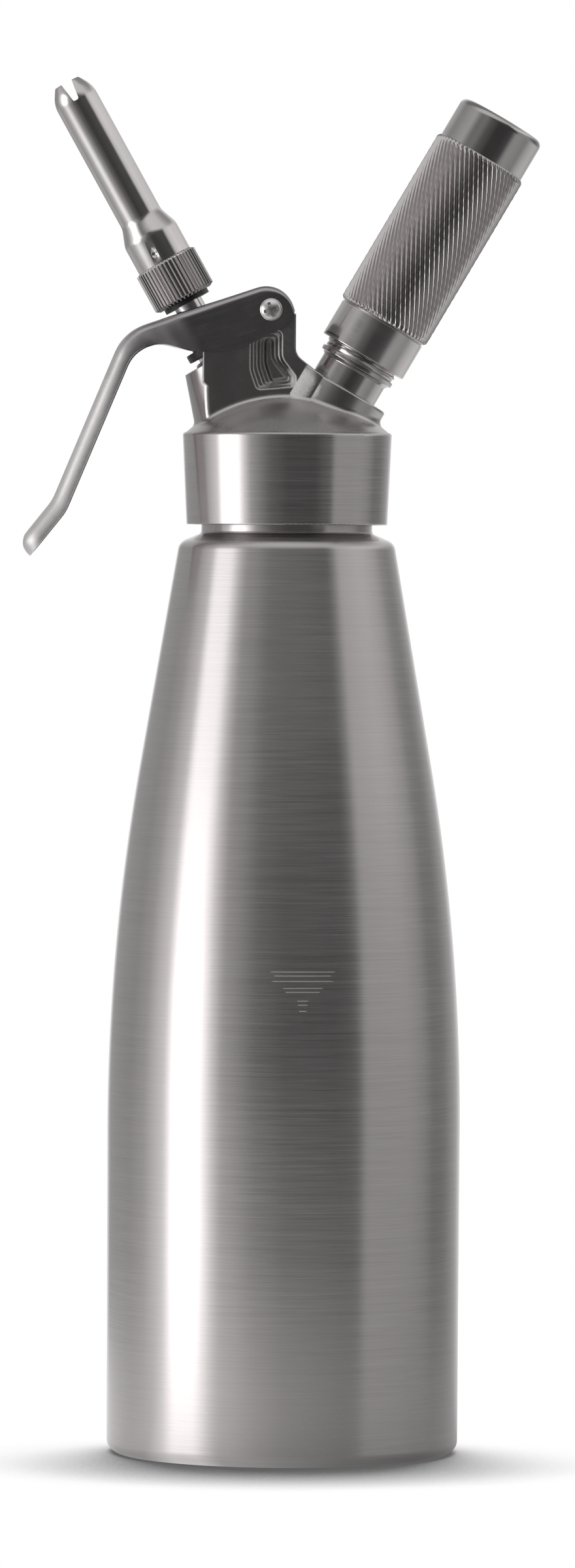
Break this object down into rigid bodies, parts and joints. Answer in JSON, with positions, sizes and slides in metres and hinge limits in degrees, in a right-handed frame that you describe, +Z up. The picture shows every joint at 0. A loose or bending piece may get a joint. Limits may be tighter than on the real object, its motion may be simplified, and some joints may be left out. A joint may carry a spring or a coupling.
{
  "type": "whipped cream dispenser",
  "caption": "Whipped cream dispenser: tapered steel bottle, screwed head with lever valve, fluted decorator nozzle and gas charger in a knurled holder.",
  "frame": {"origin": "On the bottle's axis, at the plane that its foot ring stands on.", "axes": "+Z up along the bottle, +X towards the charger holder, so nozzle and lever are at -X; +Y completes the right-handed frame, and the pivot screw's head faces -Y."},
  "size_m": [0.1464, 0.099, 0.3861],
  "materials": {
    "bottle_steel": "fine horizontal brushing",
    "head_steel": "cast, ground and satin polished, brushed skirt",
    "polished_steel": "mirror polished stainless steel",
    "lever_steel": "dark polished cast steel",
    "knurled_steel": "knurled and polished",
    "spring_steel": "drawn spring wire",
    "black_rubber": "matt moulded seal",
    "red_silicone": "matt silicone",
    "black_plastic": "matt black plastic",
    "charger_steel": "bright plated steel"
  },
  "bodies": {
    "bottle": {"bottle": "bottle_steel"},
    "gasket": {"head_gasket": "red_silicone"},
    "head": {"head": "head_steel", "pivot_sleeve": "polished_steel", "pivot_screw": "polished_steel", "charger_port": "polished_steel", "port_gasket": "black_rubber", "check_valve": "red_silicone", "piercing_pin": "polished_steel", "port_seal": "black_rubber", "valve_spring": "spring_steel"},
    "lever": {"lever": "lever_steel"},
    "valve": {"valve_stem": "polished_steel", "piston_seal": "black_rubber", "stem_o_ring": "black_rubber", "push_ring": "black_plastic", "retaining_clip": "spring_steel", "stop_ring": "black_plastic"},
    "nozzle_seal": {"nozzle_seal": "black_rubber"},
    "nozzle": {"nozzle_collar": "knurled_steel", "decorator_nozzle": "polished_steel"},
    "charger": {"charger": "charger_steel"},
    "holder": {"charger_holder": "knurled_steel", "holder_cap": "polished_steel", "holder_pad": "black_rubber"}
  },
  "joints": [
    {"name": "head_rise", "type": "slide", "parent": "bottle", "child": "gasket", "axis": [0, 0, 1], "range_m": [0, 0.006]},
    {"name": "head_unscrew", "type": "hinge", "parent": "gasket", "child": "head", "pos_m": [0, 0, 0.2608], "axis": [0, 0, 1], "range_deg": [0, 720]},
    {"name": "lever_press", "type": "hinge", "parent": "head", "child": "lever", "pos_m": [-0.00467, 0, 0.32091], "axis": [0, -1, 0], "range_deg": [0, 11], "stiffness_Nm_per_rad": 0.35, "springref_deg": -22.92},
    {"name": "valve_travel", "type": "slide", "parent": "head", "child": "valve", "axis": [0.4863, 0, -0.8738], "range_m": [0, 0.00376], "stiffness_N_per_m": 1000, "springref_m": -0.003, "deforming": ["valve_spring"]},
    {"name": "seal_lift", "type": "slide", "parent": "valve", "child": "nozzle_seal", "axis": [-0.4863, 0, 0.8738], "range_m": [0, 0.00375]},
    {"name": "nozzle_unscrew", "type": "hinge", "parent": "nozzle_seal", "child": "nozzle", "pos_m": [-0.02869, 0, 0.32385], "axis": [-0.4863, 0, 0.8738], "range_deg": [0, 1080]},
    {"name": "charger_draw", "type": "slide", "parent": "head", "child": "charger", "axis": [0.506, 0, 0.8625], "range_m": [0, 0.006]},
    {"name": "holder_unscrew", "type": "hinge", "parent": "charger", "child": "holder", "pos_m": [0.02105, 0, 0.30818], "axis": [0.506, 0, 0.8625], "range_deg": [0, 1440]}
  ],
  "couplings": [
    {"joint": "head_unscrew", "follows": "head_rise", "rad_per_m": 2094.4},
    {"joint": "lever_press", "follows": "valve_travel", "rad_per_m": 51.125},
    {"joint": "nozzle_unscrew", "follows": "seal_lift", "rad_per_m": 5026.5},
    {"joint": "holder_unscrew", "follows": "charger_draw", "rad_per_m": 4188.8}
  ]
}
